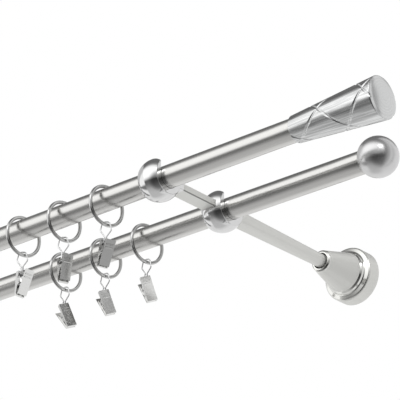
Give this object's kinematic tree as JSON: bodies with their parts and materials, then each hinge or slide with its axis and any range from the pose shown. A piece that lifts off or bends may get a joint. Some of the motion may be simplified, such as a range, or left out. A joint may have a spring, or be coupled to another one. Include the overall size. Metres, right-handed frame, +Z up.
{
  "type": "double curtain pole",
  "caption": "Double curtain pole: satin steel tubes laid in open ball cups on wall brackets with round roses, grooved cone and ball finials, and rings that carry spring clips.",
  "frame": {"origin": "middle of the two wall screw holes of the right bracket, on the wall's face, at the height of the poles' axes", "axes": "+X along the poles to the right as seen from the room, +Y into the wall, +Z up"},
  "size_m": [1.1262, 0.2343, 0.0728],
  "materials": {
    "satin_steel_tube": "satin steel tube, drawn along its length",
    "polished_steel": "polished nickel plate",
    "satin_steel": "satin nickel plate",
    "turned_steel": "satin with fine turning marks, polished on its steps",
    "zinc_steel": "zinc plate",
    "dark_steel": "black oxide",
    "polished_aluminium": "polished along its length",
    "nickel_ring": "nickel plate",
    "nickel_wire": "nickel plate",
    "nickel_clip": "nickel plate on pressed sheet",
    "spring_steel": "bright spring wire"
  },
  "bodies": {
    "bracket_and_poles": {"front_pole": "satin_steel_tube", "rear_pole": "satin_steel_tube", "right_front_cup": "polished_steel", "right_rear_cup": "polished_steel", "right_front_arm": "satin_steel", "right_rear_arm": "satin_steel", "right_rose": "turned_steel", "right_wall_plate": "zinc_steel", "right_arm_bolt": "zinc_steel", "right_rose_grub_screw": "dark_steel", "right_cone_finial": "polished_aluminium", "right_ball_finial": "satin_steel", "left_front_cup": "polished_steel", "left_rear_cup": "polished_steel", "left_front_arm": "satin_steel", "left_rear_arm": "satin_steel", "left_rose": "turned_steel", "left_wall_plate": "zinc_steel", "left_arm_bolt": "zinc_steel", "left_rose_grub_screw": "dark_steel", "left_cone_finial": "polished_aluminium", "left_ball_finial": "satin_steel"},
    "ring_body_front_1": {"ring_front_1": "nickel_ring"},
    "clip_body_front_1": {"hanger_front_1": "nickel_wire", "front_jaw_front_1": "nickel_clip", "clip_pin_front_1": "nickel_wire", "clip_spring_front_1": "spring_steel"},
    "jaw_body_front_1": {"back_jaw_front_1": "nickel_clip"},
    "ring_body_front_2": {"ring_front_2": "nickel_ring"},
    "clip_body_front_2": {"hanger_front_2": "nickel_wire", "front_jaw_front_2": "nickel_clip", "clip_pin_front_2": "nickel_wire", "clip_spring_front_2": "spring_steel"},
    "jaw_body_front_2": {"back_jaw_front_2": "nickel_clip"},
    "ring_body_front_3": {"ring_front_3": "nickel_ring"},
    "clip_body_front_3": {"hanger_front_3": "nickel_wire", "front_jaw_front_3": "nickel_clip", "clip_pin_front_3": "nickel_wire", "clip_spring_front_3": "spring_steel"},
    "jaw_body_front_3": {"back_jaw_front_3": "nickel_clip"},
    "ring_body_rear_1": {"ring_rear_1": "nickel_ring"},
    "clip_body_rear_1": {"hanger_rear_1": "nickel_wire", "front_jaw_rear_1": "nickel_clip", "clip_pin_rear_1": "nickel_wire", "clip_spring_rear_1": "spring_steel"},
    "jaw_body_rear_1": {"back_jaw_rear_1": "nickel_clip"},
    "ring_body_rear_2": {"ring_rear_2": "nickel_ring"},
    "clip_body_rear_2": {"hanger_rear_2": "nickel_wire", "front_jaw_rear_2": "nickel_clip", "clip_pin_rear_2": "nickel_wire", "clip_spring_rear_2": "spring_steel"},
    "jaw_body_rear_2": {"back_jaw_rear_2": "nickel_clip"},
    "ring_body_rear_3": {"ring_rear_3": "nickel_ring"},
    "clip_body_rear_3": {"hanger_rear_3": "nickel_wire", "front_jaw_rear_3": "nickel_clip", "clip_pin_rear_3": "nickel_wire", "clip_spring_rear_3": "spring_steel"},
    "jaw_body_rear_3": {"back_jaw_rear_3": "nickel_clip"}
  },
  "joints": [
    {"name": "slide_front_1", "type": "slide", "parent": "bracket_and_poles", "child": "ring_body_front_1", "axis": [1, 0, 0], "range_m": [-0.011, 0.031]},
    {"name": "swing_front_1", "type": "hinge", "parent": "ring_body_front_1", "child": "clip_body_front_1", "pos_m": [-0.0483, -0.219, -0.0189], "axis": [0.1219, 0.9925, 0], "range_deg": [-30, 30]},
    {"name": "squeeze_front_1", "type": "hinge", "parent": "clip_body_front_1", "child": "jaw_body_front_1", "pos_m": [-0.04644, -0.22025, -0.04006], "axis": [-0.3741, -0.9259, 0.0523], "range_deg": [0, 16], "stiffness_Nm_per_rad": 0.01, "springref_deg": -20.05, "deforming": ["clip_spring_front_1"]},
    {"name": "slide_front_2", "type": "slide", "parent": "bracket_and_poles", "child": "ring_body_front_2", "axis": [1, 0, 0], "range_m": [-0.011, 0.011]},
    {"name": "swing_front_2", "type": "hinge", "parent": "ring_body_front_2", "child": "clip_body_front_2", "pos_m": [-0.0885, -0.219, -0.0189], "axis": [0.1219, 0.9925, 0], "range_deg": [-30, 30]},
    {"name": "squeeze_front_2", "type": "hinge", "parent": "clip_body_front_2", "child": "jaw_body_front_2", "pos_m": [-0.08426, -0.22095, -0.04135], "axis": [-0.3907, -0.9204, 0.0175], "range_deg": [0, 16], "stiffness_Nm_per_rad": 0.01, "springref_deg": -20.05, "deforming": ["clip_spring_front_2"]},
    {"name": "slide_front_3", "type": "slide", "parent": "bracket_and_poles", "child": "ring_body_front_3", "axis": [1, 0, 0], "range_m": [-0.61, 0.011]},
    {"name": "swing_front_3", "type": "hinge", "parent": "ring_body_front_3", "child": "clip_body_front_3", "pos_m": [-0.1287, -0.219, -0.0189], "axis": [0.1219, 0.9925, 0], "range_deg": [-30, 30]},
    {"name": "squeeze_front_3", "type": "hinge", "parent": "clip_body_front_3", "child": "jaw_body_front_3", "pos_m": [-0.12557, -0.22004, -0.04062], "axis": [-0.1388, -0.9879, 0.0698], "range_deg": [0, 16], "stiffness_Nm_per_rad": 0.01, "springref_deg": -20.05, "deforming": ["clip_spring_front_3"]},
    {"name": "slide_rear_1", "type": "slide", "parent": "bracket_and_poles", "child": "ring_body_rear_1", "axis": [1, 0, 0], "range_m": [-0.011, 0.053]},
    {"name": "swing_rear_1", "type": "hinge", "parent": "ring_body_rear_1", "child": "clip_body_rear_1", "pos_m": [-0.07, -0.154, -0.0189], "axis": [0.1219, 0.9925, 0], "range_deg": [-30, 30]},
    {"name": "squeeze_rear_1", "type": "hinge", "parent": "clip_body_rear_1", "child": "jaw_body_rear_1", "pos_m": [-0.07149, -0.15083, -0.03823], "axis": [0.569, 0.7551, 0.3256], "range_deg": [0, 16], "stiffness_Nm_per_rad": 0.01, "springref_deg": -20.05, "deforming": ["clip_spring_rear_1"]},
    {"name": "slide_rear_2", "type": "slide", "parent": "bracket_and_poles", "child": "ring_body_rear_2", "axis": [1, 0, 0], "range_m": [-0.011, 0.011]},
    {"name": "swing_rear_2", "type": "hinge", "parent": "ring_body_rear_2", "child": "clip_body_rear_2", "pos_m": [-0.1102, -0.154, -0.0189], "axis": [0.1219, 0.9925, 0], "range_deg": [-30, 30]},
    {"name": "squeeze_rear_2", "type": "hinge", "parent": "clip_body_rear_2", "child": "jaw_body_rear_2", "pos_m": [-0.11125, -0.15126, -0.03844], "axis": [0.4998, 0.7999, 0.3322], "range_deg": [0, 16], "stiffness_Nm_per_rad": 0.01, "springref_deg": -20.05, "deforming": ["clip_spring_rear_2"]},
    {"name": "slide_rear_3", "type": "slide", "parent": "bracket_and_poles", "child": "ring_body_rear_3", "axis": [1, 0, 0], "range_m": [-0.58, 0.011]},
    {"name": "swing_rear_3", "type": "hinge", "parent": "ring_body_rear_3", "child": "clip_body_rear_3", "pos_m": [-0.1504, -0.154, -0.0189], "axis": [0.1219, 0.9925, 0], "range_deg": [-30, 30]},
    {"name": "squeeze_rear_3", "type": "hinge", "parent": "clip_body_rear_3", "child": "jaw_body_rear_3", "pos_m": [-0.15077, -0.15167, -0.03871], "axis": [0.4119, 0.8446, 0.342], "range_deg": [0, 16], "stiffness_Nm_per_rad": 0.01, "springref_deg": -20.05, "deforming": ["clip_spring_rear_3"]}
  ]
}
